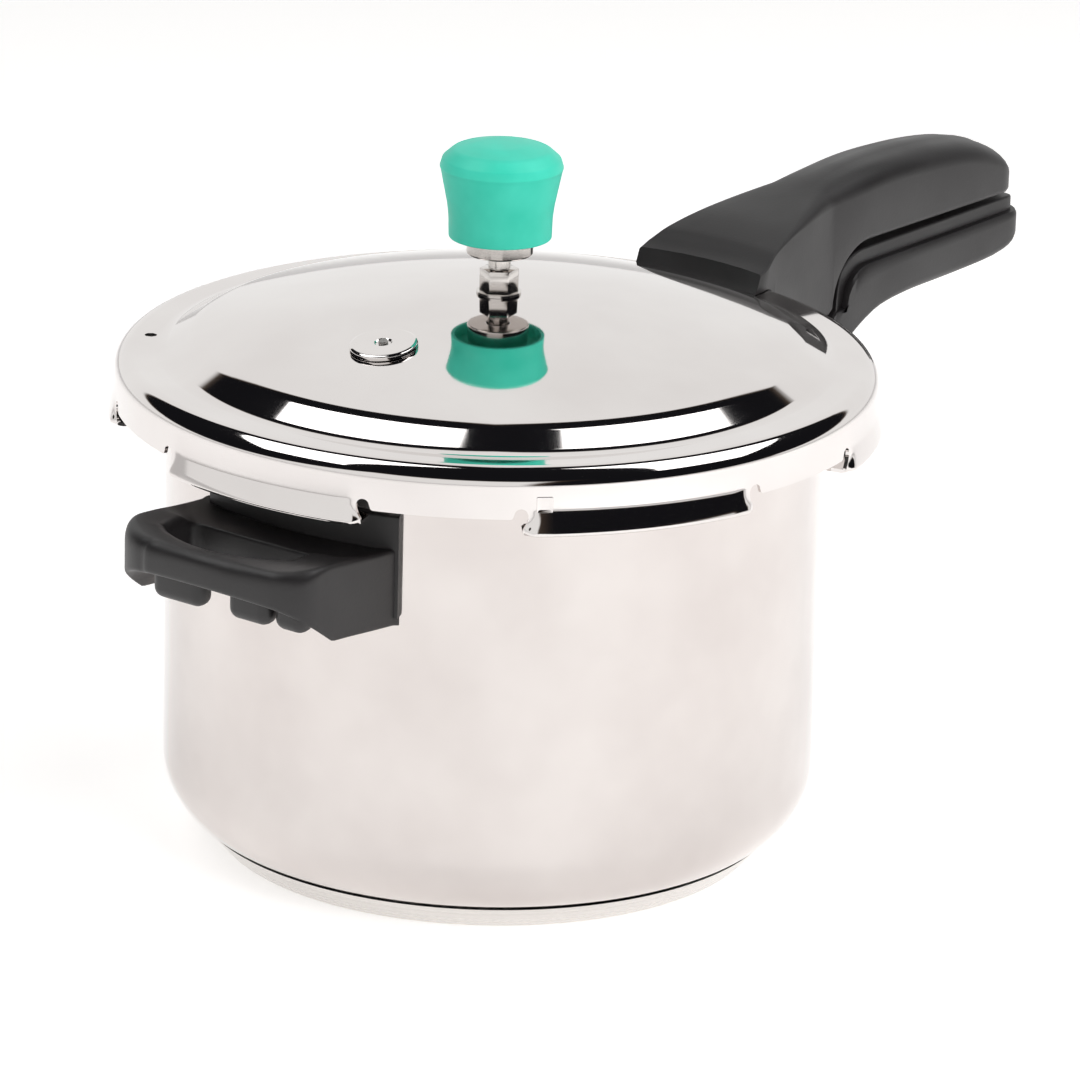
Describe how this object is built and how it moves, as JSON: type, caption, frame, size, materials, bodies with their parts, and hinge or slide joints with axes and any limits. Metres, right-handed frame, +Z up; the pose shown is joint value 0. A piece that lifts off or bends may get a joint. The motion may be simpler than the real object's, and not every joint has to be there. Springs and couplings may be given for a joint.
{
  "type": "stovetop pressure cooker",
  "caption": "Stainless pressure cooker with an outer lid that locks by turning, a lift-off weight on a vent pipe, two long stacked handles and a short helper handle.",
  "frame": {"origin": "centre of the underside of the base, on the cooker's axis", "axes": "+Z up along the cooker's axis, +X out along the long handles, helper handle at -X"},
  "size_m": [0.439, 0.2468, 0.2325],
  "materials": {
    "polished_steel": "mirror-polished stainless steel",
    "base_steel": "fine satin stainless steel",
    "aluminium_core": "plain rolled aluminium",
    "phenolic": "satin moulded phenolic",
    "seal_rubber": "moulded rubber",
    "vent_steel": "turned and polished steel",
    "ring_steel": "spring steel wire",
    "valve_steel": "turned and polished steel",
    "fusible_alloy": "cast soft metal",
    "zinc_steel": "zinc-plated steel",
    "weight_green": "smooth moulded plastic"
  },
  "bodies": {
    "pot": {"pot_body": "polished_steel", "base_core": "aluminium_core", "base_cap": "base_steel", "body_handle": "phenolic", "body_handle_bracket": "zinc_steel", "body_handle_screw": "zinc_steel", "helper_handle": "phenolic", "helper_bracket": "zinc_steel", "helper_screw_left": "zinc_steel", "helper_screw_right": "zinc_steel"},
    "lid": {"lid_shell": "polished_steel", "lid_gasket": "seal_rubber", "lid_handle": "phenolic", "lid_handle_bracket": "zinc_steel", "lid_handle_screw_front": "zinc_steel", "lid_handle_screw_rear": "zinc_steel", "vent_pipe": "vent_steel", "vent_ring": "ring_steel", "vent_nut": "vent_steel", "safety_valve_body": "valve_steel", "safety_valve_plug": "fusible_alloy", "safety_valve_gasket": "seal_rubber", "safety_valve_nut": "valve_steel"},
    "weight": {"weight_cover": "weight_green", "weight_core": "vent_steel", "weight_needle": "vent_steel"}
  },
  "joints": [
    {"name": "lid_turn", "type": "hinge", "parent": "pot", "child": "lid", "pos_m": [0, 0, 0.152], "axis": [0, 0, 1], "range_deg": [0, 30]},
    {"name": "weight_lift", "type": "slide", "parent": "lid", "child": "weight", "axis": [0, 0, 1], "range_m": [0, 0.03]}
  ]
}
